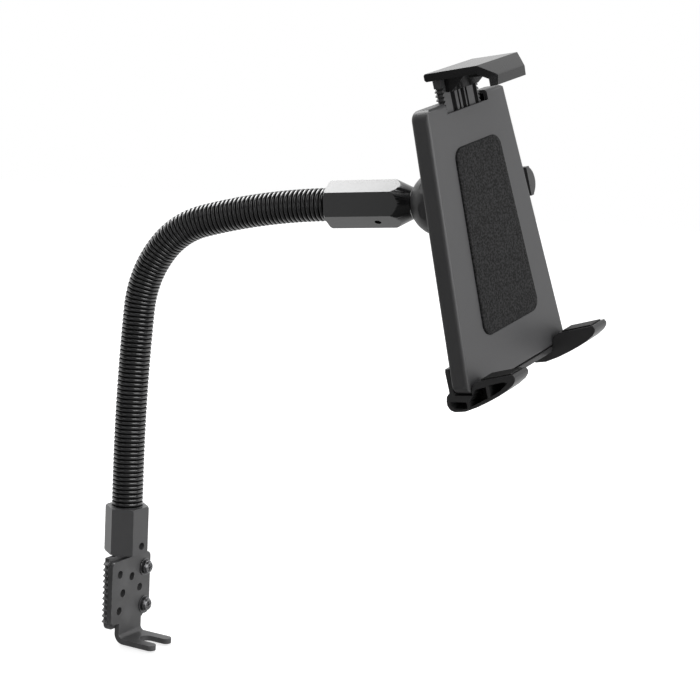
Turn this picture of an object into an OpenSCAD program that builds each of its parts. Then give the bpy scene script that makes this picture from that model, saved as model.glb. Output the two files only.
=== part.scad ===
// Seat rail tablet mount: a forked foot under a seat bolt, a bendable neck,
// a ball joint and a spring-latched tablet holder. Millimetres, Z up.
// Origin: centre of the seat-bolt slot, on the underside of the fork.

/* [Foot bracket] */
// thickness of both bracket plates
plate_thick = 3.6; // [3:0.1:4.5]
// width of both bracket plates
plate_width = 42; // [38:0.5:46]
// height of the top edge of the fork plate
plate_top = 57; // [54:0.5:60]
// width of the stem and of the fork
fork_width = 24.5; // [22:0.5:30]
// width of the seat-bolt slot
slot_width = 10.5; // [8.5:0.25:12.5]
// distance from the slot centre to the fork tips
fork_reach = 12.5; // [10:0.5:20]
// distance from the slot centre back to the front of the upright plate
bolt_offset = 14.5; // [13:0.5:20]
// inside radius of the bend
bend_radius = 3; // [2:0.25:5]
// spacing of the teeth on the serrated plate
tooth_pitch = 3.9; // [3.5:0.1:4.5]
// diameter of the spare holes in the fork plate
plate_hole = 5.4; // [4.5:0.1:6]
// diameter of the plate screws
screw_size = 5; // [4:0.5:5]

/* [Neck] */
// outside diameter of the ringed sleeve
neck_size = 20.7; // [18:0.1:22]
// diameter of the bendable core
core_size = 14.4; // [12:0.1:15]
// straight length above the lower ferrule
neck_start = 22.5; // [15:0.5:40]
// angle of the first slow bend
lean_angle = 4.5; // [2:0.5:10]
// radius of the first slow bend
lean_radius = 1400; // [800:50:1600]
// angle of the second bend
rise_angle = 34.4; // [20:0.2:50]
// radius of the second bend
rise_radius = 75; // [60:1:110]
// angle of the third bend
turn_angle = 34.6; // [20:0.2:50]
// radius of the third bend
turn_radius = 56.5; // [50:0.5:90]
// angle of the last slow bend
level_angle = 12; // [5:0.5:20]
// radius of the last slow bend
level_radius = 420; // [300:10:500]
// turn of the whole neck about the upright
neck_turn = 7.2; // [-30:0.2:30]

/* [Ferrules and ball] */
// width across the flats of both ferrules
ferrule_flats = 25.4; // [24:0.1:28]
// length of the lower ferrule
lower_length = 31.5; // [28:0.5:36]
// length of the six-sided part of the upper ferrule
upper_length = 42.5; // [38:0.5:50]
// length of the taper at the front of the upper ferrule
taper_length = 11.8; // [10:0.2:13]
// radius of the upper ferrule where it meets the dome
nose_radius = 9.4; // [8:0.1:9.8]
// depth of the sleeve inside each ferrule
sleeve_depth = 8; // [6:0.5:9]
// depth of the core inside each ferrule
core_depth = 15; // [12:0.5:16]
// radius of the ball
ball_radius = 12.4; // [11.5:0.1:12.5]
// diameter of the rod that carries the ball
rod_size = 8; // [7:0.5:9]
// radius of the domed locking collar
dome_radius = 20.2; // [19.8:0.1:20.8]
// gap between the curved faces of the ball joint
ball_gap = 0.3; // [0.25:0.01:0.4]
// turn of the holder to the side, as set
pan_angle = -19.9; // [-26:0.1:26]
// tip of the holder, as set
tilt_angle = -3.4; // [-16:0.1:16]
// turn of the holder in its own plane, as set
spin_angle = 13.3; // [-90:0.1:90]

/* [Holder] */
// height of the holder body
body_height = 164; // [158:1:170]
// width of the holder body at its top
top_width = 78; // [76:1:84]
// width of the holder body at its bottom
bottom_width = 107; // [102:1:112]
// thickness of the holder body
body_thick = 12.4; // [12.2:0.1:13]
// depth of the back shell, from the back to the parting line
back_depth = 4.4; // [4:0.1:5]
// wall thickness of both shells
wall = 2.2; // [2:0.1:2.4]
// corner radius of the holder body
corner_radius = 6; // [4:0.5:7]
// rounding of the long front edges
edge_round = 2.4; // [1.5:0.1:3]
// thickness of the foam pad
foam_thick = 1.8; // [1.4:0.1:2]
// height of the ball joint above the bottom of the body
boss_height = 103.3; // [98:0.1:106]

/* [Clamp and release] */
// width of the clamp arm
arm_width = 35; // [33:0.5:36]
// thickness of the clamp arm
arm_thick = 5.2; // [4.8:0.1:5.3]
// width of the clamp hood at the back
hood_width = 47.6; // [44:0.2:50]
// reach of the clamp hood in front of the face
hood_reach = 34.3; // [30:0.5:44]
// height of the clamp hood above the body, closed
hood_rise = 18.4; // [16:0.2:22]
// running gap of the sliding parts
slide_gap = 0.25; // [0.2:0.01:0.3]
// travel of the release button
button_travel = 2.5; // [2:0.1:3]

/* [Feet] */
// width of each foot
foot_width = 14; // [12:0.5:15]
// distance of the middle of each foot from the corner of the body
foot_inset = 9.5; // [8.5:0.5:10.5]
// thickness of the grip pads
grip_thick = 1.6; // [1.2:0.1:2]

/* [Hidden] */
$fn = 48;
eps = 0.01;
fit_gap = 0.05;

// bracket
face_x = -bolt_offset;
fork_back_x = face_x - plate_thick;
axis_x = fork_back_x - plate_thick / 2;
serrated_back_x = fork_back_x - plate_thick;
plate_bottom = 14;
slot_radius = slot_width / 2;
stem_corner = plate_thick + bend_radius;
ferrule_base = plate_top + 3;
tongue_width = 17;
hex_turn = 6;
tongue_top = ferrule_base + 11;
screw_spots = [[14.5, 47], [14.5, 21]];
hole_spots = [[-12.5, 47.5], [0.5, 43.5], [-9, 34], [-12.5, 22.5]];
open_spot = [9.5, 34];
head_size = screw_size * 1.86;
washer_size = screw_size * 2.3;
washer_thick = 1;

// neck route
ferrule_top = ferrule_base + lower_length;
neck_z = ferrule_top + neck_start;
a1 = lean_angle;
a2 = a1 + rise_angle;
a3 = a2 + turn_angle;
a4 = a3 + level_angle;
function bend_end(p, r, a, b) = [p[0] + r * (cos(a) - cos(b)), p[1] + r * (sin(b) - sin(a))];
p0 = [0, neck_z];
p1 = bend_end(p0, lean_radius, 0, a1);
p2 = bend_end(p1, rise_radius, a1, a2);
p3 = bend_end(p2, turn_radius, a2, a3);
p4 = bend_end(p3, level_radius, a3, a4);
sleeve_bore = core_size + 0.9;
ring_pitch = 2.9;
ring_length = 1.9;
ring_depth = 0.45;
joint_step = 0.15;
ring_inside = (neck_size + sleeve_bore) / 2 - 0.8;

// ball joint, measured along the axis of the upper ferrule
ferrule_end = upper_length + taper_length;
dome_gap = 0.35;
ball_at = ferrule_end + sqrt(pow(dome_radius + dome_gap, 2) - pow(nose_radius, 2));
liner_in = ball_radius + ball_gap;
liner_out = 14.9;
socket_radius = liner_out + ball_gap;
thread_radius = 17.4;
mouth_angle = 43;
liner_mouth = 46;
boss_face = 15.4;
holder_x = 31.8;

// holder
side_slope = atan((bottom_width - top_width) / 2 / body_height);
parting_x = -body_thick + back_depth;
arm_back = -body_thick + wall + 1.9;
arm_front = arm_back + arm_thick;
foam_recess = 0.6;
pad_low = 27;
pad_high = body_height - 26;
front_wall = -(arm_front + slide_gap);
arm_bottom = 46;
hood_top = body_height + hood_rise;
hood_back = arm_back - 0.7;
hood_plate = 4.6;
hood_under = hood_top - hood_plate;
hood_screw_u = hood_top - 9;
notch_bottom = body_height - 6;
frame_back = -body_thick + wall + 0.25;
frame_front = arm_back - 0.25;
frame_low = 96.5;
frame_high = 107.5;
button_u = 102;
button_side = half_width(button_u);
post_low = 24;
post_high = body_height - 30;
post_spots = [for (s = [-1, 1], q = [[post_low, 20.4], [post_high, 13.7]])
  [s * (half_width(q[0]) - q[1]), q[0]]];
post_radius = 3.4;
rack_pitch = 2.4;
rack_depth = 1.4;
foot_centre = bottom_width / 2 - foot_inset;
foot_spots = [[foot_centre, 11], [-foot_centre, 11]];
foot_back = -16;
pad_start = [6.5, 8.6];
pad_end = [31.4, 12.8];
pad_lean = atan((pad_end[1] - pad_start[1]) / (pad_end[0] - pad_start[0]));

function half_width(u) = bottom_width / 2 - (bottom_width - top_width) / 2 * u / body_height;

module at_neck_end() {
  translate([axis_x, 0, 0])
    rotate([0, 0, neck_turn])
      translate([p4[0], 0, p4[1]])
        rotate([0, -(90 - a4), 0])
          children();
}

module at_ball() {
  at_neck_end()
    translate([ball_at, 0, 0])
      rotate([tilt_turns()[0], tilt_turns()[1], tilt_turns()[2]])
        children();
}

function tilt_turns() = [spin_angle, tilt_angle, pan_angle];

module at_holder() {
  at_ball()
    translate([holder_x, 0, -boss_height])
      children();
}

// flat shape in the plane of the face, drawn as (w, u) and standing on the face normal
module on_face(back, depth) {
  translate([back, 0, 0])
    rotate([90, 0, 90])
      linear_extrude(height = depth)
        children();
}

// side view of a foot or hood, drawn as (n, u) and running along the width
module across(from, length) {
  translate([0, from + length, 0])
    rotate([90, 0, 0])
      linear_extrude(height = length)
        children();
}

module round_box_2d(w, h, r) {
  union() {
    translate([-w / 2 + r, -h / 2])
      square([w - 2 * r, h]);
    translate([-w / 2, -h / 2 + r])
      square([w, h - 2 * r]);
    for (sx = [-1, 1], sy = [-1, 1])
      translate([sx * (w / 2 - r), sy * (h / 2 - r)])
        circle(r = r);
  }
}

// tapered outline with rounded corners: half widths b (low) and t (high), from low to high
module taper_2d(b, t, low, high, r) {
  g = atan((b - t) / (high - low));
  cb = b - r * (1 + sin(g)) / cos(g);
  ct = t - r * (1 - sin(g)) / cos(g);
  union() {
    polygon([
      [-cb, low], [cb, low],
      [cb + r * cos(g), low + r + r * sin(g)],
      [ct + r * cos(g), high - r + r * sin(g)],
      [ct, high], [-ct, high],
      [-ct - r * cos(g), high - r + r * sin(g)],
      [-cb - r * cos(g), low + r + r * sin(g)]
    ]);
    for (s = [-1, 1]) {
      translate([s * cb, low + r])
        circle(r = r);
      translate([s * ct, high - r])
        circle(r = r);
    }
  }
}

module body_2d(inset) {
  g = side_slope;
  b = bottom_width / 2 - inset * (1 + sin(g)) / cos(g);
  t = top_width / 2 - inset * (1 - sin(g)) / cos(g);
  taper_2d(b, t, inset, body_height - inset, max(corner_radius - inset, 1));
}

module pad_2d(inset) {
  translate([1, 0])
    taper_2d(bottom_width / 2 - 24 - inset, top_width / 2 - 16.5 - inset, pad_low + inset,
      pad_high - inset, 7.5 - inset);
}

// cutter that rounds one long front edge of the body
module edge_cutter(r, length) {
  translate([0, 0, -5])
    linear_extrude(height = length + 10)
      difference() {
        translate([-r, -r])
          square([r + 3, r + 3]);
        translate([-r, -r])
          circle(r = r);
        translate([-r - eps, -3 * r])
          square([eps, 3]);
      }
}

module front_rounding() {
  for (s = [0, 1])
    mirror([0, s, 0])
      translate([0, bottom_width / 2, 0])
        rotate([side_slope, 0, 0])
          edge_cutter(edge_round, body_height);
  translate([0, -bottom_width, body_height])
    rotate([-90, 0, 0])
      mirror([0, 1, 0])
        edge_cutter(edge_round, 2 * bottom_width);
  translate([0, -bottom_width, 0])
    rotate([-90, 0, 0])
      edge_cutter(edge_round, 2 * bottom_width);
}

module slot_profile_2d(len, r) {
  union() {
    circle(r = r);
    translate([0, -r])
      square([len, 2 * r]);
  }
}

// foot bracket
module fork_plate() {
  color([0.20, 0.20, 0.21])
    difference() {
      union() {
        // upright
        translate([fork_back_x, 0, 0])
          rotate([90, 0, 90])
            linear_extrude(height = plate_thick)
              union() {
                translate([0, (plate_bottom + plate_top) / 2])
                  round_box_2d(plate_width, plate_top - plate_bottom, 4);
                translate([-fork_width / 2, stem_corner])
                  square([fork_width, plate_bottom + 6 - stem_corner]);
              }
        // bend
        translate([face_x + bend_radius, fork_width / 2, stem_corner])
          rotate([90, 0, 0])
            rotate_extrude(angle = 90, start = 180)
              translate([bend_radius, 0])
                square([plate_thick, fork_width]);
        // fork
        linear_extrude(height = plate_thick)
          union() {
            translate([face_x + bend_radius, -fork_width / 2])
              square([fork_reach - face_x - bend_radius - 4, fork_width]);
            for (s = [-1, 1])
              translate([fork_reach - tine_round, s * (fork_width / 2 - tine_round)])
                circle(r = tine_round);
            for (s = [-1, 1])
              translate([fork_reach - 4 - eps, s * fork_width / 2 - (s > 0 ? 2 * tine_round : 0)])
                square([4 - tine_round + 2 * eps, 2 * tine_round]);
          }
      }
      translate([0, 0, -1])
        linear_extrude(height = plate_thick + 2)
          slot_profile_2d(fork_reach + 5, slot_radius);
      for (p = screw_spots)
        plate_hole_at(p, screw_size / 2 + fit_gap);
      for (p = hole_spots)
        plate_hole_at(p, plate_hole / 2);
      plate_hole_at(open_spot, plate_hole / 2);
    }
}

tine_round = (fork_width - slot_width) / 4;

module plate_hole_at(p, r) {
  translate([serrated_back_x - 1, p[0], p[1]])
    rotate([0, 90, 0])
      cylinder(r = r, h = 2 * plate_thick + 2);
}

module serrated_plate() {
  teeth = floor((ferrule_base - 3 - plate_bottom) / tooth_pitch);
  color([0.17, 0.17, 0.18])
    difference() {
      translate([serrated_back_x, 0, 0])
        rotate([90, 0, 90])
          linear_extrude(height = plate_thick)
            union() {
              translate([0, (10 + ferrule_base - 0.5) / 2])
                round_box_2d(plate_width - 2, ferrule_base - 10.5, 5);
              translate([1 - plate_width / 2, plate_bottom + 8])
                square([plate_width - 2, ferrule_base - 0.5 - plate_bottom - 8]);
              translate([-tongue_width / 2, 30])
                square([tongue_width, tongue_top - 30]);
              for (i = [0 : teeth - 1])
                translate([-plate_width / 2 + 1, plate_bottom + 2.5 + i * tooth_pitch])
                  polygon([[eps, -tooth_pitch * 0.4], [eps, tooth_pitch * 0.4], [-2.2, 0]]);
            }
      for (p = screw_spots)
        plate_hole_at(p, screw_size / 2 + fit_gap);
      plate_hole_at(open_spot, plate_hole / 2);
      // tapped seat for the lower set screw
      translate([axis_x - 5, 0, ferrule_base + 5.5])
        rotate([0, 90, 0])
          cylinder(r = 2.1, h = 10);
    }
}

module pan_head(r, h) {
  // domed screw head standing on z = 0 with a cross recess
  difference() {
    union() {
      cylinder(r = r, h = h * 0.55);
      translate([0, 0, h * 0.55])
        cylinder(r1 = r, r2 = r * 0.72, h = h * 0.45);
    }
    for (a = [0, 90])
      rotate([0, 0, a])
        translate([-r * 0.5, -r * 0.1, h * 0.45])
          cube([r, r * 0.2, h]);
  }
}

module plate_screws() {
  color([0.30, 0.30, 0.31])
    for (p = screw_spots)
      translate([face_x + washer_thick, p[0], p[1]])
        rotate([0, 90, 0]) {
          pan_head(head_size / 2, screw_size * 0.66);
          translate([0, 0, -2 * plate_thick - washer_thick - 4.4])
            cylinder(r = screw_size / 2, h = 2 * plate_thick + washer_thick + 4.5);
          // nut behind the serrated plate
          translate([0, 0, -2 * plate_thick - washer_thick - 3.8])
            cylinder(r = screw_size * 0.92, h = 3.8, $fn = 6);
        }
}

module plate_washers() {
  color([0.36, 0.36, 0.37])
    for (p = screw_spots)
      translate([face_x, p[0], p[1]])
        rotate([0, 90, 0])
          difference() {
            cylinder(r = washer_size / 2, h = washer_thick);
            translate([0, 0, -1])
              cylinder(r = screw_size / 2 + fit_gap, h = washer_thick + 2);
          }
}

// six-sided bar with both ends turned to a chamfer
module hex_bar(flats, length, chamfer_low, chamfer_high) {
  corner = flats / cos(30) / 2;
  intersection() {
    rotate([0, 0, 30])
      cylinder(r = corner, h = length, $fn = 6);
    union() {
      cylinder(r1 = corner - chamfer_low, r2 = corner + 0.2, h = chamfer_low + 0.2);
      translate([0, 0, chamfer_low + 0.2 - eps])
        cylinder(r = corner + 0.2, h = length - chamfer_low - chamfer_high - 0.4 + 2 * eps);
      translate([0, 0, length - chamfer_high - 0.2])
        cylinder(r1 = corner + 0.2, r2 = corner - chamfer_high, h = chamfer_high + 0.2);
    }
  }
}

module lower_ferrule() {
  color([0.22, 0.22, 0.23])
    translate([axis_x, 0, ferrule_base])
      difference() {
        rotate([0, 0, -hex_turn])
          hex_bar(ferrule_flats, lower_length, 0.8, 1.0);
        translate([0, 0, lower_length - sleeve_depth - 0.2])
          cylinder(r = neck_size / 2 + fit_gap, h = sleeve_depth + 1);
        translate([0, 0, lower_length - core_depth - 0.4])
          cylinder(r = core_size / 2 + fit_gap, h = core_depth + 1);
        // slot for the tongue of the serrated plate
        translate([-plate_thick / 2 - fit_gap, -tongue_width / 2 - 0.1, -1])
          cube([plate_thick + 2 * fit_gap, tongue_width + 0.2, 12.2]);
        translate([0, 0, 5.5])
          rotate([0, 90, 0])
            cylinder(r = 2.5, h = ferrule_flats);
      }
}

// headless screw with a six-sided socket, tip at z = 0
module set_screw(r, h) {
  difference() {
    union() {
      cylinder(r1 = r * 0.6, r2 = r, h = r * 0.4);
      translate([0, 0, r * 0.4 - eps])
        cylinder(r = r, h = h - r * 0.4 + eps);
    }
    translate([0, 0, h - 2.4])
      cylinder(r = r * 0.55, h = 3, $fn = 6);
  }
}

module lower_set_screw() {
  color([0.12, 0.12, 0.12])
    translate([axis_x + plate_thick / 2 + 0.1, 0, ferrule_base + 5.5])
      rotate([0, 90, 0])
        set_screw(2.45, 8.2);
}

// a tube or a rod that follows the neck route, with a collar over each change of bend
module neck_route(outer, inner, depth, collar_out, collar_in) {
  translate([0, 0, ferrule_top - depth])
    linear_extrude(height = neck_start + depth - eps)
      ring_2d(outer, inner);
  neck_bend_piece(p0, lean_radius, 0, a1, outer, inner);
  neck_bend_piece(p1, rise_radius, a1, a2, outer, inner);
  neck_bend_piece(p2, turn_radius, a2, a3, outer, inner);
  neck_bend_piece(p3, level_radius, a3, a4, outer, inner);
  translate([p4[0], 0, p4[1]])
    rotate([0, a4, 0])
      translate([0, 0, eps])
        linear_extrude(height = depth - eps)
          ring_2d(outer, inner);
  neck_ring(p0, 0, collar_out, collar_in);
  neck_ring(p1, a1, collar_out, collar_in);
  neck_ring(p2, a2, collar_out, collar_in);
  neck_ring(p3, a3, collar_out, collar_in);
  neck_ring(p4, a4, collar_out, collar_in);
}

module neck_ring(p, a, outer, inner) {
  translate([p[0], 0, p[1]])
    rotate([0, a, 0])
      translate([0, 0, -ring_length / 2])
        linear_extrude(height = ring_length)
          ring_2d(outer, inner);
}

module ring_2d(outer, inner) {
  difference() {
    circle(r = outer / 2);
    if (inner > 0)
      circle(r = inner / 2);
  }
}

module neck_bend_piece(p, r, a, b, outer, inner) {
  // centre of the bend lies square to the route on the side it turns to
  g = eps / r * 57.3;
  translate([p[0] + r * cos(a), 0, p[1] - r * sin(a)])
    rotate([90, 0, 0])
      rotate_extrude(angle = b - a - 2 * g, start = 180 - b + g)
        translate([r, 0])
          ring_2d(outer, inner);
}

// the rings of the sleeve between both ends of one bend
module bend_rings(p, r, a, b) {
  count = round((b - a) / 57.2958 * r / ring_pitch);
  for (i = [1 : count - 1])
    neck_ring(bend_end(p, r, a, a + (b - a) * i / count), a + (b - a) * i / count,
      neck_size, ring_inside);
}

module neck_sleeve() {
  straight = floor((neck_start + sleeve_depth - 2) / ring_pitch);
  color([0.09, 0.09, 0.09])
    translate([axis_x, 0, 0])
      rotate([0, 0, neck_turn])
        union() {
          neck_route(neck_size - 2 * ring_depth, sleeve_bore, sleeve_depth, neck_size,
            sleeve_bore - 2 * joint_step);
          for (i = [1 : straight])
            neck_ring([0, neck_z - i * ring_pitch], 0, neck_size, ring_inside);
          bend_rings(p0, lean_radius, 0, a1);
          bend_rings(p1, rise_radius, a1, a2);
          bend_rings(p2, turn_radius, a2, a3);
          bend_rings(p3, level_radius, a3, a4);
          for (i = [1, 2])
            neck_ring([p4[0] + i * ring_pitch * sin(a4), p4[1] + i * ring_pitch * cos(a4)], a4,
              neck_size, ring_inside);
        }
}

module neck_core() {
  color([0.30, 0.30, 0.30])
    translate([axis_x, 0, 0])
      rotate([0, 0, neck_turn])
        union()
          neck_route(core_size - 2 * joint_step, 0, core_depth, core_size, 0);
}

module upper_ferrule() {
  corner = ferrule_flats / cos(30) / 2;
  color([0.10, 0.10, 0.10])
    at_neck_end()
      rotate([0, 90, 0])
        difference() {
          intersection() {
            cylinder(r = corner, h = ferrule_end, $fn = 6);
            union() {
              cylinder(r1 = corner - 1, r2 = corner + 0.2, h = 1.2);
              translate([0, 0, 1.2 - eps])
                cylinder(r = corner + 0.2, h = upper_length - 1.2 + 2 * eps);
              // turned taper that cuts the flats in arcs
              translate([0, 0, upper_length])
                cylinder(r1 = corner + 0.2, r2 = nose_radius, h = taper_length);
            }
          }
          // hollow end that clears the dome at every tilt
          translate([0, 0, ball_at])
            sphere(r = dome_radius + dome_gap);
          translate([0, 0, -1])
            cylinder(r = neck_size / 2 + fit_gap, h = sleeve_depth + 1.2);
          translate([0, 0, -1])
            cylinder(r = core_size / 2 + fit_gap, h = core_depth + 1.4);
          translate([0, 0, 24])
            cylinder(r = rod_size / 2 + fit_gap, h = 60);
          rotate([0, 0, -30])
            translate([0, 0, 33])
              rotate([0, 90, 0])
                cylinder(r = 2.1, h = 20);
        }
}

module upper_set_screw() {
  color([0.12, 0.12, 0.12])
    at_neck_end()
      rotate([0, 90, 0])
        rotate([0, 0, -30])
          translate([rod_size / 2 + 0.1, 0, 33])
            rotate([0, 90, 0])
              set_screw(2.05, 6.6);
}

module ball_stud() {
  color([0.14, 0.14, 0.14])
    at_neck_end()
      rotate([0, 90, 0])
        union() {
          translate([0, 0, 24.4])
            cylinder(r = rod_size / 2, h = ball_at - 24.4 - 8);
          translate([0, 0, ball_at])
            sphere(r = ball_radius);
        }
}

// the parts of the socket are drawn with their axis on Z, the front of the holder at +Z
module on_joint_axis() {
  at_ball()
    rotate([0, 90, 0])
      children();
}

module back_cone(angle, reach) {
  // open cone to the back with its point at the ball centre
  mirror([0, 0, 1])
    cylinder(r1 = 0, r2 = reach * tan(angle), h = reach);
}

module ball_liner() {
  color([0.55, 0.55, 0.53])
    on_joint_axis()
      difference() {
        sphere(r = liner_out);
        sphere(r = liner_in);
        back_cone(liner_mouth, 30);
        translate([0, 0, 7])
          cylinder(r = 20, h = 20);
      }
}

module locking_collar() {
  color([0.11, 0.11, 0.11])
    on_joint_axis()
      difference() {
        union() {
          intersection() {
            sphere(r = dome_radius);
            translate([0, 0, -30])
              cylinder(r = 30, h = 34);
          }
          translate([0, 0, 0])
            cylinder(r = dome_radius, h = boss_face - 0.4);
        }
        sphere(r = socket_radius);
        back_cone(mouth_angle, 30);
        // bore that turns on the boss
        translate([0, 0, 3.6])
          cylinder(r = thread_radius + fit_gap, h = 30);
        cylinder(r = socket_radius, h = 6);
        // wide grip flats
        for (i = [0 : 7])
          rotate([0, 0, i * 45])
            translate([dome_radius - 0.6, -10, -4])
              cube([5, 20, 20]);
      }
}

module socket_boss() {
  color([0.13, 0.13, 0.13])
    on_joint_axis()
      difference() {
        union() {
          translate([0, 0, 4])
            cylinder(r = thread_radius, h = boss_face - 4);
          translate([0, 0, boss_face - eps])
            cylinder(r = 22.5, h = holder_x - body_thick - boss_face + eps);
        }
        sphere(r = socket_radius);
        for (a = [45 : 90 : 315])
          rotate([0, 0, a])
            translate([18.8, 0, holder_x - body_thick - 3])
              cylinder(r = 1.45, h = 5);
      }
}

module boss_screws() {
  color([0.4, 0.4, 0.4])
    on_joint_axis()
      for (a = [45 : 90 : 315])
        rotate([0, 0, a])
          translate([18.8, 0, holder_x - body_thick - 2.9])
            union() {
              cylinder(r = 1.4, h = 2.9 + wall - 0.1);
              translate([0, 0, 2.9 + wall - 1.5])
                cylinder(r1 = 1.4, r2 = 2.75, h = 1.35);
            }
}

module back_shell() {
  color([0.21, 0.21, 0.22])
    at_holder()
      difference() {
        on_face(-body_thick, back_depth)
          body_2d(0);
        // hollow, leaving the wall and a locating step
        on_face(-body_thick + wall, back_depth)
          body_2d(wall);
        // way out for the arm
        translate([arm_back - slide_gap, -arm_width / 2 - slide_gap, body_height - 10])
          cube([20, arm_width + 2 * slide_gap, 20]);
        // side opening for the button
        translate([-body_thick + wall, button_side - 14, button_u - 5 - slide_gap])
          cube([20, 40, 10 + 2 * slide_gap]);
        for (p = post_spots)
          shell_screw_hole(p);
        translate([-holder_x, 0, boss_height])
          rotate([0, 90, 0])
            for (a = [45 : 90 : 315])
              rotate([0, 0, a])
                translate([18.8, 0, holder_x - body_thick])
                  union() {
                    translate([0, 0, -1])
                      cylinder(r = 1.45, h = 5);
                    translate([0, 0, wall - 1.5])
                      cylinder(r1 = 1.45, r2 = 2.85, h = 1.4);
                    translate([0, 0, wall - 0.1])
                      cylinder(r = 2.85, h = 1);
                  }
        for (p = foot_spots)
          translate([-body_thick - 1, p[0], p[1]])
            rotate([0, 90, 0])
              cylinder(r = 1.3, h = wall + 1);
      }
}

module shell_screw_hole(p) {
  translate([-body_thick - 1, p[0], p[1]])
    rotate([0, 90, 0])
      union() {
        cylinder(r = 1.55, h = 6);
        cylinder(r = 2.9, h = 2.1);
      }
}

module front_shell() {
  color([0.20, 0.20, 0.21])
    at_holder()
      difference() {
        union() {
          difference() {
            on_face(parting_x, -parting_x)
              body_2d(0);
            on_face(parting_x - 1, -parting_x + 1 - front_wall)
              body_2d(wall);
          }
          for (p = post_spots)
            translate([-body_thick + wall + 0.1, p[0], p[1]])
              rotate([0, 90, 0])
                cylinder(r = post_radius, h = body_thick - wall - 1.2);
          // guides beside the arm
          for (s = [-1, 1])
            translate([parting_x, s > 0 ? arm_width / 2 + slide_gap : -arm_width / 2 - slide_gap - 2,
              body_height - 46])
              cube([-parting_x - 1, 2, 38]);
        }
        front_rounding();
        on_face(-foam_recess, 5)
          pad_2d(0);
        // way out for the arm, and the notch in the face
        translate([-20, -arm_width / 2 - slide_gap, body_height - 12])
          cube([20 - front_wall, arm_width + 2 * slide_gap, 20]);
        translate([-20, -20.5, notch_bottom])
          cube([30, 41, 20]);
        // side opening for the button
        translate([-20, button_side - 14, button_u - 5 - slide_gap])
          cube([20 - front_wall - 1.2, 40, 10 + 2 * slide_gap]);
        for (p = post_spots)
          translate([-body_thick + wall, p[0], p[1]])
            rotate([0, 90, 0])
              cylinder(r = 1.2, h = 7.5);
      }
}

module case_screws() {
  color([0.35, 0.35, 0.35])
    at_holder()
      for (p = post_spots)
        translate([-body_thick + 1.1, p[0], p[1]])
          rotate([0, 90, 0])
            union() {
              cylinder(r = 1.15, h = 8);
              mirror([0, 0, 1])
                pan_head(2.7, 1.05);
            }
}

module foam_pad() {
  color([0.07, 0.07, 0.07])
    at_holder()
      on_face(-foam_recess, foam_thick)
        pad_2d(0.35);
}

// feet
module foot_outline_2d() {
  polygon([
    [foot_back, 1.2], [-18.6, -1.2], [-19.5, -4.4], [-19.5, -7], [-18, -9.6], [-14.8, -10.8],
    [-7, -10.2], [2.5, -7.2], [11, -3.8], [18.6, -0.4], [25, 3], [30, 6.4], [32.2, 9],
    [32.6, 11], pad_end, pad_start, [2.6, 6.2], [0.4, 3], [0.4, -0.4], [-12.8, -0.4],
    [-12.8, 16], [-15.4, 16], [foot_back, 14]
  ]);
}

module foot_pocket_2d() {
  union() {
    polygon([[-17, -4.4], [-5, -4.4], [-5, -8.4], [-10, -9], [-15.6, -9.2], [-17.4, -7]]);
    polygon([[-3.2, -4.2], [-1.6, -3], [3, 3.6], [11, 5.2], [11, -1.8], [-3.2, -7.6]]);
    polygon([[12.6, 6.2], [24.4, 8.4], [26.6, 7.6], [20, 2.6], [12.6, -1]]);
  }
}

module foot(side) {
  from = side * foot_centre - foot_width / 2;
  difference() {
    across(from, foot_width)
      foot_outline_2d();
    // hollow open to the outer side, with the ribs left standing
    across(side > 0 ? from + 2.2 : from - 1, foot_width - 1.2)
      foot_pocket_2d();
    // seat for the grip pad
    translate([0, from + 1.2, 0])
      foot_pad_block(foot_width - 2.4, 0.1);
    // screw hole at the back
    translate([-20, side * foot_centre, 11])
      rotate([0, 90, 0])
        cylinder(r = 1.55, h = 10);
    // end of the cross bar
    bar_block(fit_gap);
  }
}

// strip sunk half its thickness in the top of a foot
module foot_pad_block(width, gap) {
  translate([0, width, 0])
    rotate([90, 0, 0])
      linear_extrude(height = width)
        translate(pad_start)
          rotate(pad_lean)
            translate([1.4 - gap, -grip_thick / 2])
              square([22 + 2 * gap, gap > 0 ? 5 : grip_thick]);
}

module bar_block(gap) {
  translate([-11 - gap, -foot_centre + 3 - gap, -3.4 - gap])
    cube([10.4 + 2 * gap, 2 * foot_centre - 6 + 2 * gap, 3 + 2 * gap]);
}

module foot_bar() {
  color([0.10, 0.10, 0.10])
    at_holder()
      bar_block(0);
}

module left_foot() {
  color([0.10, 0.10, 0.10])
    at_holder()
      foot(-1);
}

module right_foot() {
  color([0.10, 0.10, 0.10])
    at_holder()
      foot(1);
}

module foot_pads() {
  color([0.05, 0.05, 0.05])
    at_holder()
      for (s = [-1, 1])
        translate([0, s * foot_centre - foot_width / 2 + 1.3, 0])
          foot_pad_block(foot_width - 2.6, 0);
}

module foot_screws() {
  color([0.35, 0.35, 0.35])
    at_holder()
      for (p = foot_spots)
        translate([foot_back, p[0], p[1]])
          rotate([0, 90, 0])
            union() {
              translate([0, 0, -0.1])
                cylinder(r = 1.25, h = 5.6);
              mirror([0, 0, 1])
                pan_head(2.6, 1.6);
            }
}

// clamp arm with its racks
module arm_outline_2d() {
  rack_low = arm_bottom + 5;
  teeth = floor((hood_under - 3 - rack_low) / rack_pitch);
  difference() {
    translate([-arm_width / 2, arm_bottom])
      square([arm_width, hood_under - arm_bottom]);
    for (s = [-1, 1], i = [0 : teeth - 1])
      translate([s * arm_width / 2, rack_low + i * rack_pitch])
        polygon([[s * eps, -0.2], [s * eps, 1.5], [-s * rack_depth, 1.5], [-s * rack_depth, 0.9]]);
  }
}

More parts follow.
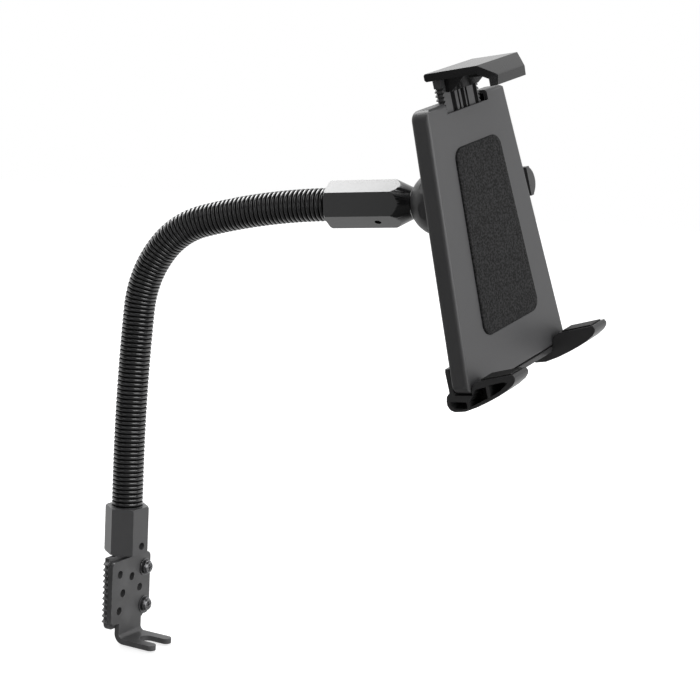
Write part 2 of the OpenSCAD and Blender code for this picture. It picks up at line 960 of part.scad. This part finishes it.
module clamp_arm() {
  color([0.24, 0.24, 0.25])
    at_holder()
      difference() {
        on_face(arm_back, arm_thick)
          arm_outline_2d();
        // grooves between the ribs on the front
        for (g = [[-10, -6], [-3.6, -2], [-0.2, 3.2], [4.2, 6], [12, 15.3]])
          translate([arm_back + 2.2, g[0], arm_bottom + 14])
            cube([arm_thick, g[1] - g[0], hood_under - arm_bottom]);
        for (s = [-1, 1])
          translate([arm_back, s * 8, hood_screw_u])
            rotate([0, 90, 0])
              union() {
                translate([0, 0, -1])
                  cylinder(r = 1.3, h = arm_thick + 2);
                translate([0, 0, -1])
                  cylinder(r = 2.5, h = 2.5);
              }
      }
}

// side view of the hood, without the block under it
module hood_side_2d() {
  polygon([
    [hood_back + 1, hood_under], [hood_back, hood_under + 1], [hood_back, hood_top - 0.9],
    [hood_back + 0.9, hood_top], [hood_reach - 8.3, hood_top], [hood_reach - 0.7, hood_top - 6.7],
    [hood_reach, hood_top - 7.7], [hood_reach - 0.9, hood_top - 12.8],
    [hood_reach - 4.3, hood_top - 12.8], [hood_reach - 4.3, hood_top - 8.6],
    [hood_reach - 9.2, hood_under]
  ]);
}

// the hood from above: it narrows slowly to the bend and then fast to the lip
module hood_plan_2d() {
  b = hood_width / 2;
  polygon([
    [hood_back - 1, -b], [hood_reach - 8.3, 3.1 - b], [hood_reach, 10.5 - b],
    [hood_reach + 1, 11.4 - b], [hood_reach + 1, b - 11.4], [hood_reach, b - 10.5],
    [hood_reach - 8.3, b - 3.1], [hood_back - 1, b]
  ]);
}

module clamp_hood() {
  color([0.26, 0.26, 0.27])
    at_holder()
      difference() {
        union() {
          intersection() {
            across(-hood_width / 2, hood_width)
              hood_side_2d();
            translate([0, 0, hood_top - 20])
              linear_extrude(height = 30)
                hood_plan_2d();
          }
          // block that carries the hood on the arm
          across(4 - arm_width / 2, arm_width - 8)
            polygon([[arm_front, hood_under + 0.1], [arm_front, hood_top - 13],
              [0.5, hood_top - 13], [12, hood_under + 0.1]]);
        }
        for (s = [-1, 1])
          translate([arm_front - 1, s * 8, hood_screw_u])
            rotate([0, 90, 0])
              cylinder(r = 1.2, h = 4.6);
      }
}

// rubber lining in the hook of the hood
module hood_pad() {
  color([0.05, 0.05, 0.05])
    at_holder()
      across(-12, 24)
        polygon([
          [hood_reach - 4.3, hood_top - 12.4], [hood_reach - 4.3, hood_top - 8.6],
          [hood_reach - 9.2, hood_under], [13, hood_under], [13, hood_under - 2.4],
          [hood_reach - 10, hood_under - 2.4], [hood_reach - 6.4, hood_top - 9.8],
          [hood_reach - 6.4, hood_top - 12.4]
        ]);
}

module hood_screws() {
  color([0.35, 0.35, 0.35])
    at_holder()
      for (s = [-1, 1])
        translate([arm_back + 1.5, s * 8, hood_screw_u])
          rotate([0, 90, 0])
            union() {
              translate([0, 0, -0.1])
                cylinder(r = 1.15, h = arm_thick - 1.5 + 3.2);
              mirror([0, 0, 1])
                pan_head(2.4, 1.3);
            }
}

// release button and the frame it pushes
module release_button() {
  color([0.12, 0.12, 0.12])
    at_holder()
      union() {
        // cap with a rounded outer edge
        translate([-body_thick + 1.4, 0, 0])
          rotate([90, 0, 90])
            linear_extrude(height = body_thick - 3.2)
              union() {
                translate([button_side + button_travel + 1.2, button_u - 9])
                  square([3.2, 18]);
                intersection() {
                  translate([button_side + button_travel - 2.4, button_u])
                    circle(r = 10.6);
                  translate([button_side + button_travel + 1.2, button_u - 9])
                    square([12, 18]);
                }
              }
        // stem through the side of the body
        translate([frame_back, button_side - 7, button_u - 5])
          cube([5.2, button_travel + 9, 10]);
      }
}

module latch_frame() {
  color([0.45, 0.45, 0.45])
    at_holder()
      union() {
        // strap behind the arm
        translate([frame_back, -arm_width / 2 - 6, frame_low])
          cube([frame_front - frame_back, button_side - 7.1 + arm_width / 2 + 6, frame_high - frame_low]);
        // upright with the latch teeth beside the arm
        translate([frame_front - eps, -arm_width / 2 - 6, frame_low])
          cube([arm_thick - 0.4, 3, frame_high - frame_low]);
        for (i = [0 : 2])
          translate([frame_front - eps, 0, 0])
            rotate([90, 0, 90])
              linear_extrude(height = arm_thick - 0.4)
                translate([-arm_width / 2 - 3 - eps, 98.6 + i * rack_pitch])
                  polygon([[0, -0.2], [0, 1.5], [2.3, 1.1], [2.3, 0.8]]);
      }
}

module button_spring() {
  turns = 5;
  pitch = 1.5;
  color([0.6, 0.6, 0.6])
    at_holder()
      translate([frame_front + 2.6, arm_width / 2 + 3, button_u])
        rotate([-90, 0, 0])
          for (i = [0 : turns - 1])
            translate([0, 0, i * pitch + 0.6])
              rotate_extrude($fn = 24)
                translate([2, 0])
                  circle(r = 0.35, $fn = 8);
}

fork_plate();
serrated_plate();
plate_screws();
plate_washers();
lower_ferrule();
lower_set_screw();
neck_sleeve();
neck_core();
upper_ferrule();
upper_set_screw();
ball_stud();
ball_liner();
locking_collar();
socket_boss();
boss_screws();
back_shell();
front_shell();
case_screws();
foam_pad();
foot_bar();
left_foot();
right_foot();
foot_pads();
foot_screws();
clamp_arm();
clamp_hood();
hood_pad();
hood_screws();
release_button();
latch_frame();
button_spring();
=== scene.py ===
import math

import bmesh
import bpy
from mathutils import Matrix, Vector
from mathutils.geometry import convex_hull_2d, intersect_point_line


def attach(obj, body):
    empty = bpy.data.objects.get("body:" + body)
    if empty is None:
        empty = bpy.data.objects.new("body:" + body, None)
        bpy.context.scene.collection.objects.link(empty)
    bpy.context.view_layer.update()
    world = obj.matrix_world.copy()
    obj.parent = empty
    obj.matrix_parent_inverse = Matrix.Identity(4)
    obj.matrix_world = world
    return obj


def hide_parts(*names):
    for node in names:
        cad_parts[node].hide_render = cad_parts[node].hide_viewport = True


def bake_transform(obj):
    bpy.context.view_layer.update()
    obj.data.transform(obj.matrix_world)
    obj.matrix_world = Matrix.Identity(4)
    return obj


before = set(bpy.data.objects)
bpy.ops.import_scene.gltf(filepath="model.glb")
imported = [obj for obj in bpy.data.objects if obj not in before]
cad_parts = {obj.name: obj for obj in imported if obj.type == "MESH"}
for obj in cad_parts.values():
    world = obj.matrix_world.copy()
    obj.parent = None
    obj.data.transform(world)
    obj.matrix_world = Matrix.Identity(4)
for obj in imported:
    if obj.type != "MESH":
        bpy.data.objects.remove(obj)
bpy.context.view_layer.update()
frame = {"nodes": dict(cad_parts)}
nodes = frame["nodes"]

# Camera: it stands 0.34 m up, about a metre from the neck, and looks 8 degrees
# down with a slight roll.
right = Vector((0.8783, 0.4753, 0.0518)).normalized()
away = Vector((-0.4649, 0.8744, -0.1392)).normalized()
up = right.cross(away).normalized()
eye = Vector((0.56309, -0.79254, 0.34027))
focal_pixels = 1500.0
picture_pixels = 700.0
camera = bpy.data.objects.new("camera", bpy.data.cameras.new("camera"))
bpy.context.scene.collection.objects.link(camera)
bpy.context.scene.camera = camera
camera.matrix_world = Matrix.Translation(eye) @ Matrix((right, up, -away)).transposed().to_4x4()
camera.data.sensor_width = 36.0
camera.data.lens = focal_pixels / picture_pixels * camera.data.sensor_width
camera.data.clip_start = 0.01

# Foot bracket: two pressed steel plates with dark powder coat. The coat is a
# little orange-peeled, and thin on the cut edges where it has rubbed. Two black
# zinc screws with nuts and washers hold the plates together.


class Value:
    """An output of one of a tree's nodes, open to arithmetic."""

    def __init__(self, nodes, socket):
        self.nodes, self.socket = nodes, socket

    def reckon(self, operation, a, b):
        return self.nodes.node("Math", {"operation": operation}, {0: a, 1: b})

    def __add__(self, other):
        return self.reckon("ADD", self, other)

    def __sub__(self, other):
        return self.reckon("SUBTRACT", self, other)

    def __rsub__(self, other):
        return self.reckon("SUBTRACT", other, self)

    def __mul__(self, other):
        return self.reckon("MULTIPLY", self, other)

    __radd__ = __add__
    __rmul__ = __mul__

    def step(self, low, high):
        """0 below low, 1 above high, smooth between."""
        return self.nodes.node("MapRange", {"interpolation_type": "SMOOTHSTEP"},
                               {"Value": self, "From Min": low, "From Max": high})


class Nodes:
    """A tree of shader nodes."""

    def __init__(self, tree):
        self.tree = tree

    def feed(self, node, sockets):
        """Sets a node's sockets, to a link or to a plain value."""
        for name, value in sockets.items():
            if isinstance(value, Value):
                self.tree.links.new(value.socket, node.inputs[name])
            else:
                node.inputs[name].default_value = value

    def node(self, kind, settings=None, sockets=None, output=0):
        """Adds a node of this kind and gives one of its outputs."""
        made = self.tree.nodes.new("ShaderNode" + kind)
        for name, value in (settings or {}).items():
            setattr(made, name, value)
        self.feed(made, sockets or {})
        return Value(self, made.outputs[output])


class Finish(Nodes):
    """The material of one real surface, with the nodes that vary it."""

    def __init__(self, name, fixed=None):
        self.material = bpy.data.materials.new(name)
        self.material.use_nodes = True
        super().__init__(self.material.node_tree)
        self.shader = self.tree.nodes["Principled BSDF"]
        self.feed(self.shader, fixed or {})
        self.spot = self.node("TexCoord", output="Object")
        self.normal = None

    def noise(self, scale, detail=3.0):
        return self.node("TexNoise", None, {"Vector": self.spot, "Scale": scale, "Detail": detail})

    def mark(self, name):
        """What the mesh says of itself at this point, from 0 to 1."""
        return self.node("Attribute", {"attribute_name": name}, output="Fac")

    def mix(self, factor, a, b):
        """A colour between two, each a value or plain red, green and blue."""
        a, b = (v if isinstance(v, Value) else (*v, 1) for v in (a, b))
        return self.node("Mix", {"data_type": "RGBA"}, {0: factor, 6: a, 7: b}, output=2)

    def colour(self, value):
        self.feed(self.shader, {"Base Color": value})

    def roughness(self, value):
        self.feed(self.shader, {"Roughness": value})

    def bump(self, height, strength, metres):
        """Adds relief of this height on top of what is there."""
        sockets = {"Height": height, "Strength": strength, "Distance": metres}
        if self.normal:
            sockets["Normal"] = self.normal
        self.normal = self.node("Bump", None, sockets)
        self.feed(self.shader, {"Normal": self.normal})

    def surface(self, factor, other):
        """Shows another shader in place of this one where the factor is 1."""
        own = Value(self, self.shader.outputs[0])
        both = self.node("MixShader", None, {0: factor, 1: own, 2: other})
        self.feed(self.tree.nodes["Material Output"], {"Surface": both})


def place(name, bm, body, finish, replaces=(), smooth=32):
    """Makes a mesh a piece of the object: its finish, its body and the nodes it stands for."""
    bmesh.ops.recalc_face_normals(bm, faces=bm.faces)
    mesh = bpy.data.meshes.new(name)
    bm.to_mesh(mesh)
    bm.free()
    for p in mesh.polygons:
        p.use_smooth = True
    mesh.set_sharp_from_angle(angle=math.radians(smooth))
    mesh.materials.append(finish.material)
    piece = bpy.data.objects.new(name, mesh)
    bpy.context.scene.collection.objects.link(piece)
    if body:
        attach(piece, body)
    if replaces:
        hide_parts(*replaces)
    return piece


same_point = 3e-6
sliver = 2e-6
flat_angle = math.radians(0.6)
sharp_angle = math.radians(38)


def solid(node):
    """A clean copy of a node's solid, its flat faces whole."""
    bm = bmesh.new()
    bm.from_mesh(nodes[node].data)
    bmesh.ops.remove_doubles(bm, verts=bm.verts, dist=same_point)
    bmesh.ops.dissolve_degenerate(bm, dist=sliver, edges=bm.edges)
    bmesh.ops.dissolve_limit(bm, angle_limit=flat_angle, verts=bm.verts, edges=bm.edges)
    bm.normal_update()
    return bm


def round_off(bm, edges, width, rounds, clamp=True):
    """Rounds edges over, and marks the narrow faces that this leaves."""
    worn = bm.faces.layers.float.get("edge") or bm.faces.layers.float.new("edge")
    made = bmesh.ops.bevel(bm, geom=edges, offset=width, offset_type="OFFSET", affect="EDGES",
                           segments=rounds, profile=0.5, clamp_overlap=clamp, material=-1)
    for f in made["faces"]:
        f[worn] = 1.0
    bm.normal_update()


def sharp(bm):
    return [e for e in bm.edges if len(e.link_faces) == 2 and e.calc_face_angle(0) > sharp_angle]


def eased(node, name, body, finish, width, rounds=2, rim=None):
    """A node's solid with its edges broken as the press or the mould leaves them.

    rim is (direction, width, rounds) for the outer edge of the side that faces there."""
    bm = solid(node)
    if rim:
        direction, rim_width, rim_rounds = rim
        round_off(bm, outer_rim(bm, direction), rim_width, rim_rounds, clamp=False)
    if width:
        round_off(bm, sharp(bm), width, rounds)
    piece = place(name, bm, body, finish, (node,))
    normals = piece.modifiers.new("normals", "WEIGHTED_NORMAL")
    normals.keep_sharp = True


coat = Finish("bracket_coat")
peel = coat.noise(900)
patch = coat.noise(70, 5.0)
rubbed = coat.mark("edge") * coat.noise(240).step(0.42, 0.62)
even = coat.mix(patch.step(0.35, 0.75), (0.066, 0.066, 0.067), (0.096, 0.096, 0.098))
coat.colour(coat.mix(rubbed, even, (0.19, 0.19, 0.195)))
coat.roughness(patch * 0.16 + 0.30)
coat.bump(peel, 0.35, 0.00012)
coat.bump(patch, 0.12, 0.0004)

zinc = Finish("black_zinc", {"Metallic": 1.0})
mottle = zinc.noise(420)
plated = zinc.mix(mottle, (0.07, 0.07, 0.075), (0.20, 0.20, 0.205))
zinc.colour(zinc.mix(zinc.mark("edge"), plated, (0.40, 0.40, 0.41)))
zinc.roughness(mottle * 0.2 + 0.22)
zinc.bump(mottle, 0.2, 0.00008)

eased("fork_plate", "fork_bracket", "foot", coat, 0.00055)
eased("serrated_plate", "toothed_plate", "foot", coat, 0.0003)
eased("plate_screws", "bracket_screws", "foot", zinc, 0.0002)
eased("plate_washers", "bracket_washers", "foot", zinc, 0.00015)

# Lower ferrule: hexagon bar with turned ends in dark satin paint, bored from
# above for the neck and slotted from below for the toothed plate.
paint = Finish("ferrule_paint")
speck = paint.noise(1400, 2.0)
cloud = paint.noise(45)
even = paint.mix(cloud, (0.074, 0.074, 0.076), (0.098, 0.098, 0.100))
paint.colour(paint.mix(paint.mark("edge") * cloud.step(0.4, 0.6), even, (0.17, 0.17, 0.175)))
paint.roughness(cloud * 0.14 + 0.26)
paint.bump(speck, 0.2, 0.00008)
eased("lower_ferrule", "base_ferrule", "foot", paint, 0.00035)
eased("lower_set_screw", "base_set_screw", "foot", zinc, 0.00012)

# Neck sleeve: close steel rings in gloss black over a bendable rod. Each ring is
# wide and well crowned, with a deep groove on each side painted near black as shade.
# It runs straight out of the ferrule and then through four bends, each an angle and a radius.
bends = [(4.5, 1.4), (34.4, 0.075), (34.6, 0.0565), (12.0, 0.42)]
neck_start = 0.0225
ferrule_top = 0.0915
neck_axis_x = -0.0199
neck_turn = math.radians(7.2)
level = Vector((math.cos(neck_turn), math.sin(neck_turn), 0))
side = Vector((-math.sin(neck_turn), math.cos(neck_turn), 0))
neck_length = neck_start + sum(math.radians(angle) * radius for angle, radius in bends)


def stand(s, radius):
    """Where a circle of this radius stands, s metres along the neck above the lower ferrule."""
    across, height, lean = 0.0, ferrule_top + min(s, neck_start), 0.0
    left = s - neck_start
    for angle, bend in bends:
        turn = max(0.0, min(left / bend, math.radians(angle)))
        across += bend * (math.cos(lean) - math.cos(lean + turn))
        height += bend * (math.sin(lean + turn) - math.sin(lean))
        lean += turn
        left -= turn * bend
    left = max(left, 0.0)
    ahead = level * math.sin(lean) + Vector((0, 0, math.cos(lean)))
    outward = ahead.cross(side)
    point = level * across + Vector((neck_axis_x, 0, height)) + ahead * left
    turned = Matrix((outward, side, ahead)).transposed().to_4x4()
    return Matrix.Translation(point) @ turned @ Matrix.Scale(radius, 4)


def drawn_tube(bm, stations, facets):
    """Draws a circle out through (distance, radius, painted shade) stations, and gives both end
    loops.
    """
    painted_groove_shade = bm.verts.layers.float.get("painted_groove_shade") or bm.verts.layers.float.new("painted_groove_shade")
    here = stand(*stations[0][:2])
    verts = bmesh.ops.create_circle(bm, segments=facets, radius=1.0, matrix=here)["verts"]
    edges = list(dict.fromkeys(e for v in verts for e in v.link_edges))
    first = edges
    for s, radius, depth in stations[1:]:
        made = bmesh.ops.extrude_edge_only(bm, edges=edges)["geom"]
        verts = [g for g in made if isinstance(g, bmesh.types.BMVert)]
        edges = [g for g in made if isinstance(g, bmesh.types.BMEdge) and g.is_boundary]
        there = stand(s, radius)
        bmesh.ops.transform(bm, matrix=there @ here.inverted(), verts=verts)
        here = there
        # each vertex keeps how much painted shade its groove gets, from 0 to 1
        for v in verts:
            v[painted_groove_shade] = depth
    return first, edges


# the middle of every ring, from inside the lower ferrule to inside the upper
pitch = 0.0029
seated_rings = 9
middles = [neck_start - i * pitch for i in range(seated_rings, 0, -1)]
reached = neck_start
for angle, radius in bends:
    span = math.radians(angle) * radius
    number = round(span / pitch)
    middles += [reached + span * i / number for i in range(number)]
    reached += span
middles += [reached, reached + pitch, reached + 2 * pitch]
gaps = [(a + b) / 2 for a, b in zip(middles, middles[1:])]
gaps = [middles[0] - pitch / 2] + gaps + [middles[-1] + pitch / 2]

# one ring's section: how far along it, and how much painted shade the groove gets there
groove_radius = 0.00915
crown_height = 0.0012
roundness = 1.9
shading = [(0.0, 1.0), (0.06, 1.0), (0.13, 0.9), (0.21, 0.3), (0.30, 0.0), (0.42, 0.0),
           (0.58, 0.0), (0.70, 0.0), (0.79, 0.3), (0.87, 0.9), (0.94, 1.0)]
crown = [(t, (1 - abs(2 * t - 1) ** roundness) ** (1 / roundness), depth) for t, depth in shading]
stations = [(a + (b - a) * t, groove_radius + crown_height * height, depth)
            for a, b in zip(gaps, gaps[1:]) for t, height, depth in crown]
stations.append((gaps[-1], groove_radius, 1.0))
ring_facets = 48
sleeve_bore = 0.0077
bore_steps = 60
# the bore inside the rings is painted in full shade
bore = [(gaps[0] + (gaps[-1] - gaps[0]) * k / bore_steps, sleeve_bore, 1.0)
        for k in range(bore_steps + 1)]
bm = bmesh.new()
outside = drawn_tube(bm, stations, ring_facets)
inside = drawn_tube(bm, bore, ring_facets)
for outer_loop, inner_loop in zip(outside, inside):
    bmesh.ops.bridge_loops(bm, edges=outer_loop + inner_loop)

gloss = Finish("ring_gloss", {"Coat Roughness": 0.18})
# the groove mark is painted shade: where it is 1 the rings get a near-black colour, no coat, more
# roughness and a dark matt shader in place of the gloss
painted_groove_shade = gloss.mark("painted_groove_shade")
drag = gloss.noise(200)
dust = gloss.noise(34, 4.0)
ring_tone = gloss.mix(dust.step(0.4, 0.8), (0.026, 0.026, 0.027), (0.044, 0.044, 0.046))
gloss.colour(gloss.mix(painted_groove_shade, ring_tone, (0.001, 0.001, 0.001)))
gloss.feed(gloss.shader, {"Coat Weight": (1 - painted_groove_shade) * 0.9})
gloss.roughness(drag * 0.08 + painted_groove_shade * 0.4 + 0.20)
gloss.surface(painted_groove_shade, gloss.node("BsdfPrincipled", None, {
    "Base Color": (0.001, 0.001, 0.001, 1), "Roughness": 0.9, "Specular IOR Level": 0.1}))
sleeve = place("ringed_sleeve", bm, None, gloss, ("neck_sleeve",), 70)
start = tuple(stand(0.0, 1.0).translation)
end = tuple(stand(neck_length, 1.0).translation)
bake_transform(sleeve)

# Neck rod: bright steel inside the sleeve, with each end seated in a ferrule.
# It follows the sleeve's bends.
steel = Finish("core_steel", {"Base Color": (0.5, 0.5, 0.51, 1), "Metallic": 1.0})
steel.roughness(steel.noise(300) * 0.25 + 0.25)
rod_radius = 0.00705
rod_seat = 0.0148
rod_steps = 80
rod_facets = 28
rod = [((neck_length + 2 * rod_seat) * k / rod_steps - rod_seat, rod_radius, 0.0)
       for k in range(rod_steps + 1)]
bm = bmesh.new()
for loop in drawn_tube(bm, rod, rod_facets):
    bmesh.ops.edgeloop_fill(bm, edges=loop)
core = place("neck_rod", bm, None, steel, ("neck_core",), 60)
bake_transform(core)

# Upper ferrule: the same hexagon bar in gloss black, turned to a taper that
# cuts the flats in arcs and ends in a hollow around the dome.
bright = Finish("upper_paint", {"Coat Weight": 0.4, "Coat Roughness": 0.08})
speck = bright.noise(1100, 2.0)
cloud = bright.noise(40)
even = bright.mix(cloud, (0.011, 0.011, 0.012), (0.020, 0.020, 0.021))
bright.colour(bright.mix(bright.mark("edge") * cloud.step(0.45, 0.6), even, (0.06, 0.06, 0.062)))
bright.roughness(cloud * 0.14 + 0.17)
bright.bump(speck, 0.2, 0.00007)
eased("upper_ferrule", "head_ferrule", "head", bright, 0.0006, rounds=3)
eased("upper_set_screw", "head_set_screw", "head", zinc, 0.00012)
eased("ball_stud", "ball", "head", zinc, 0.0)

# Ball joint: a grey liner in the socket, a domed locking collar with wide flats
# and a moulded grain, and the boss that the collar screws on to.
grey = Finish("liner_plastic")
haze = grey.noise(500, 2.0)
grey.colour(grey.mix(haze, (0.24, 0.24, 0.23), (0.31, 0.31, 0.30)))
grey.roughness(haze * 0.2 + 0.45)
grey.bump(haze, 0.15, 0.0001)
eased("ball_liner", "socket_liner", "liner", grey, 0.0002)

dome = Finish("collar_plastic")
fine = dome.noise(1500, 2.0)
wide = dome.noise(50)
dome.colour(dome.mix(wide, (0.054, 0.054, 0.055), (0.072, 0.072, 0.074)))
dome.roughness(wide * 0.16 + 0.36)
dome.bump(fine, 0.25, 0.00008)
eased("locking_collar", "dome_collar", "collar", dome, 0.0005)
eased("socket_boss", "boss", "holder", dome, 0.0003)
eased("boss_screws", "boss_fixings", "holder", zinc, 0.0001)

# Holder body: a back shell and a deeper front shell in dark grey plastic with a
# fine spark-eroded grain. The back is well rounded at its outer rim, and four
# screws from behind hold the shells together.
face_way = Vector((0.96633, -0.22041, 0.13277))
same_plane = 5e-5
on_outline = 0.0004


def faces_toward(bm, direction):
    """The largest flat face that looks in a direction."""
    return max((f for f in bm.faces if f.normal.dot(direction) > 0.99),
               key=lambda f: f.calc_area())


def outer_rim(bm, direction):
    """The sharp edges round the outline of the side that faces a direction."""
    front = faces_toward(bm, direction)
    normal = front.normal.copy()
    a = normal.orthogonal().normalized()
    b = normal.cross(a)
    plane = front.verts[0].co.dot(normal)
    found = [e for e in sharp(bm)
             if all(abs(v.co.dot(normal) - plane) < same_plane for v in e.verts)]
    corners = [Vector((v.co.dot(a), v.co.dot(b))) for e in found for v in e.verts]
    hull = [corners[i] for i in convex_hull_2d(corners)]

    def off_outline(point):
        off = []
        for p, q in zip(hull, hull[1:] + hull[:1]):
            along = intersect_point_line(point, p, q)[1]
            off.append((point - p.lerp(q, min(max(along, 0.0), 1.0))).length)
        return min(off)

    middles = [(e.verts[0].co + e.verts[1].co) / 2 for e in found]
    return [e for e, m in zip(found, middles)
            if off_outline(Vector((m.dot(a), m.dot(b)))) < on_outline]


shell = Finish("shell_plastic")
spark = shell.noise(1700)
slow = shell.noise(26)
shell.colour(shell.mix(slow, (0.070, 0.070, 0.072), (0.082, 0.082, 0.084)))
shell.roughness(slow * 0.10 + 0.38)
shell.bump(spark, 0.35, 0.00009)
eased("back_shell", "rear_cover", "holder", shell, 0.0006, rim=(-face_way, 0.0022, 4))
eased("front_shell", "front_cover", "holder", shell, 0.0004)
eased("case_screws", "cover_screws", "holder", zinc, 0.0001)

# Foam pad: a soft dark sheet stuck in a shallow seat of the front cover. It is
# open-celled and flecked, a little crowned, and rolls over at its cut edge.
foam = Finish("foam_rubber", {"Roughness": 0.92})
cells = foam.node("TexVoronoi", None, {"Vector": foam.spot, "Scale": 1000.0})
fleck = foam.noise(850)
lump = foam.noise(240)
foam.colour(foam.mix(fleck.step(0.36, 0.68), (0.001, 0.001, 0.001), (0.030, 0.030, 0.031)))
foam.bump(lump, 0.4, 0.0004)
foam.bump(cells, 0.6, 0.0003)
bm = solid("foam_pad")
round_off(bm, outer_rim(bm, face_way), 0.0007, 4)
top = faces_toward(bm, face_way)
for inward, rise in ((0.0009, 0.00010), (0.0018, 0.00008)):
    bmesh.ops.inset_region(bm, faces=[top], thickness=inward, depth=rise, use_even_offset=True)
pad = place("grip_foam", bm, "holder", foam, ("foam_pad",), 60)

# Feet: hard black mouldings hooked round the bottom edge, joined by a bar, each
# with a rubber strip where the tablet stands and two small screws behind.
satin = Finish("foot_plastic")
fine = satin.noise(1300, 2.0)
wide = satin.noise(70)
satin.colour(satin.mix(wide, (0.046, 0.046, 0.047), (0.064, 0.064, 0.065)))
satin.roughness(wide * 0.16 + 0.22)
satin.bump(fine, 0.18, 0.00007)
rubber = Finish("grip_rubber")
tooth = rubber.noise(900)
rubber.colour(rubber.mix(tooth, (0.010, 0.010, 0.010), (0.020, 0.020, 0.020)))
rubber.roughness(tooth * 0.2 + 0.62)
rubber.bump(tooth, 0.4, 0.00015)
eased("left_foot", "foot_left", "holder", satin, 0.0006)
eased("right_foot", "foot_right", "holder", satin, 0.0006)
eased("foot_bar", "foot_link", "holder", satin, 0.0004)
eased("foot_pads", "foot_grips", "holder", rubber, 0.0003)
eased("foot_screws", "foot_fixings", "holder", zinc, 0.0001)

# Clamp: a ribbed arm with a rack on each edge slides in the body and carries
# the hood, whose lip hooks over the top of the tablet.
ribbed = Finish("arm_plastic")
fine = ribbed.noise(1200, 2.0)
ribbed.colour(ribbed.mix(fine, (0.074, 0.074, 0.076), (0.090, 0.090, 0.092)))
ribbed.roughness(fine * 0.1 + 0.28)
ribbed.bump(fine, 0.2, 0.00007)
hood = Finish("hood_plastic", {"Coat Weight": 0.2, "Coat Roughness": 0.16})
fine = hood.noise(1600)
wide = hood.noise(40)
hood.colour(hood.mix(wide, (0.009, 0.009, 0.0095), (0.014, 0.014, 0.0145)))
hood.roughness(wide * 0.12 + 0.20)
hood.bump(fine, 0.2, 0.00008)
eased("clamp_arm", "ribbed_arm", "arm", ribbed, 0.0002)
eased("clamp_hood", "hood_cover", "arm", hood, 0.0009, rounds=3)
eased("hood_pad", "hood_grip", "arm", rubber, 0.0003)
eased("hood_screws", "hood_fixings", "arm", zinc, 0.0001)

# Release: the button on the right edge pushes a thin frame that runs behind the
# arm and carries the latch teeth, against a small coil spring.
eased("release_button", "button_cap", "button", satin, 0.0008, rounds=3)
eased("latch_frame", "latch_slider", "button", grey, 0.0001)
wire = Finish("spring_wire", {"Base Color": (0.55, 0.55, 0.56, 1), "Metallic": 1.0})
wire.roughness(wire.noise(800, 2.0) * 0.2 + 0.2)
spring = nodes["button_spring"].data
spring.materials.clear()
spring.materials.append(wire.material)

# Floor: a pale sheet just under the bracket. The camera sees it as white as the
# backdrop, apart from a soft shadow; the object mirrors it bright behind and dim in front.
bm = bmesh.new()
bmesh.ops.create_grid(bm, x_segments=1, y_segments=1, size=6.0,
                      matrix=Matrix.Translation((0, 0, -0.001)))
mesh = bpy.data.meshes.new("floor")
bm.to_mesh(mesh)
bm.free()
floor = bpy.data.objects.new("floor", mesh)
bpy.context.scene.collection.objects.link(floor)
sheet = Finish("floor_pale", {
    "Base Color": (0.6, 0.6, 0.6, 1), "Roughness": 0.95, "Emission Strength": 1.0})
x, y = (sheet.node("SeparateXYZ", None, {0: sheet.spot}, output=i) for i in range(2))
distance = sheet.node("VectorMath", {"operation": "LENGTH"}, {0: sheet.spot}, output="Value")
glow = sheet.mix(distance.step(0.25, 0.8), (0.70, 0.70, 0.70), (1.0, 1.0, 1.0))
sheet.feed(sheet.shader, {"Emission Color": glow})
behind = (x * away.x + y * away.y).step(-0.10, 0.12)
mirrored = sheet.node("BsdfPrincipled", None, {
    "Base Color": (0.08, 0.08, 0.08, 1), "Roughness": 0.9, "Emission Strength": 1.0,
    "Emission Color": sheet.mix(behind, (0.02, 0.02, 0.02), (0.75, 0.75, 0.75))})
sheet.surface(1 - sheet.node("LightPath", output="Is Camera Ray"), mirrored)
mesh.materials.append(sheet.material)

# Light: a white backdrop behind the object, which its glossy faces mirror, and a
# dim room in front of it. A large soft box lights the holder's face from the
# right, one stands over the neck, and two weak ones at the left and over the camera.
middle = Vector((0.12, 0.0, 0.22))
for name, (x, y, z), width, height, radiance in (
    ("key_box", (1.52, 0.25, -1.37), 2.2, 1.8, 3.3),
    ("top_box", (-0.75, 1.75, 0.85), 1.1, 1.1, 5.5),
    ("left_front_box", (-1.35, 0.05, -1.45), 1.1, 1.1, 0.6),
    ("front_box", (0.2, 1.7, -1.5), 1.6, 1.2, 1.4),
):
    lamp = bpy.data.lights.new(name, "AREA")
    lamp.shape = "RECTANGLE"
    lamp.size, lamp.size_y = width, height
    lamp.energy = radiance * math.pi * width * height
    light = bpy.data.objects.new(name, lamp)
    light.location = middle + right * x + up * y + away * z
    light.rotation_euler = (middle - light.location).to_track_quat("-Z", "Y").to_euler()
    light.visible_camera = False
    bpy.context.scene.collection.objects.link(light)

world = bpy.data.worlds.new("studio")
bpy.context.scene.world = world
world.use_nodes = True
world.node_tree.nodes.clear()
studio = Nodes(world.node_tree)
backdrop_light = 0.75
room_light = 0.02
toward = studio.node("TexCoord", output="Generated")
facing = studio.node("VectorMath", {"operation": "DOT_PRODUCT"}, {0: toward, 1: away},
                     output="Value")
backdrop = facing.step(-0.10, 0.20)
room = studio.node("Background", None, {
    "Color": (1, 1, 1, 1), "Strength": backdrop * backdrop_light + room_light})
white = studio.node("Background", None, {"Color": (1, 1, 1, 1), "Strength": 1.0})
glossy = (studio.node("LightPath", output="Is Glossy Ray")
          + studio.node("LightPath", output="Is Transmission Ray")) * backdrop
shown = studio.node("Math", {"operation": "ADD", "use_clamp": True},
                    {0: studio.node("LightPath", output="Is Camera Ray"), 1: glossy})
both = studio.node("MixShader", None, {0: shown, 1: room, 2: white})
studio.feed(world.node_tree.nodes.new("ShaderNodeOutputWorld"), {"Surface": both})
bpy.context.scene.view_settings.view_transform = "Standard"
